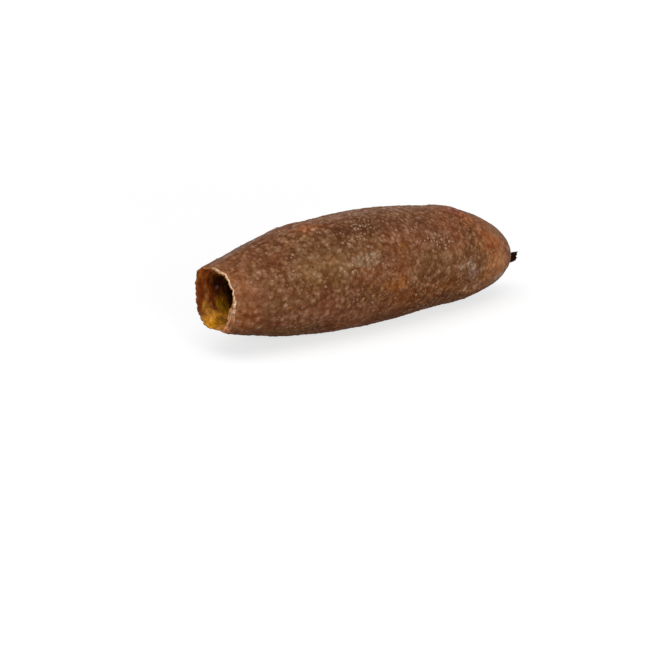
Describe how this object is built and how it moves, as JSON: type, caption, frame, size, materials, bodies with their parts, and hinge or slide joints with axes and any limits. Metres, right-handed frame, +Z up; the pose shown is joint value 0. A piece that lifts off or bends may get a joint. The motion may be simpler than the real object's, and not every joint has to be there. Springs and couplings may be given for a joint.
{
  "type": "jequitiba pod",
  "caption": "Dry woody seed pod, hollow, open at its ragged mouth where the lid has dropped out, with the dark stub of its stalk on the closed end.",
  "frame": {"origin": "on the surface that the pod rests on, under the centre of its bounding box", "axes": "+X along the pod from its open mouth to the stalk, +Z up from the surface"},
  "size_m": [0.118, 0.0336, 0.0332],
  "materials": {
    "pod_shell": "dry, warty, matt",
    "stalk_stub": "dry, splintered, matt"
  },
  "bodies": {
    "root": {"pod_shell": "pod_shell", "stalk_stub": "stalk_stub"}
  },
  "joints": []
}
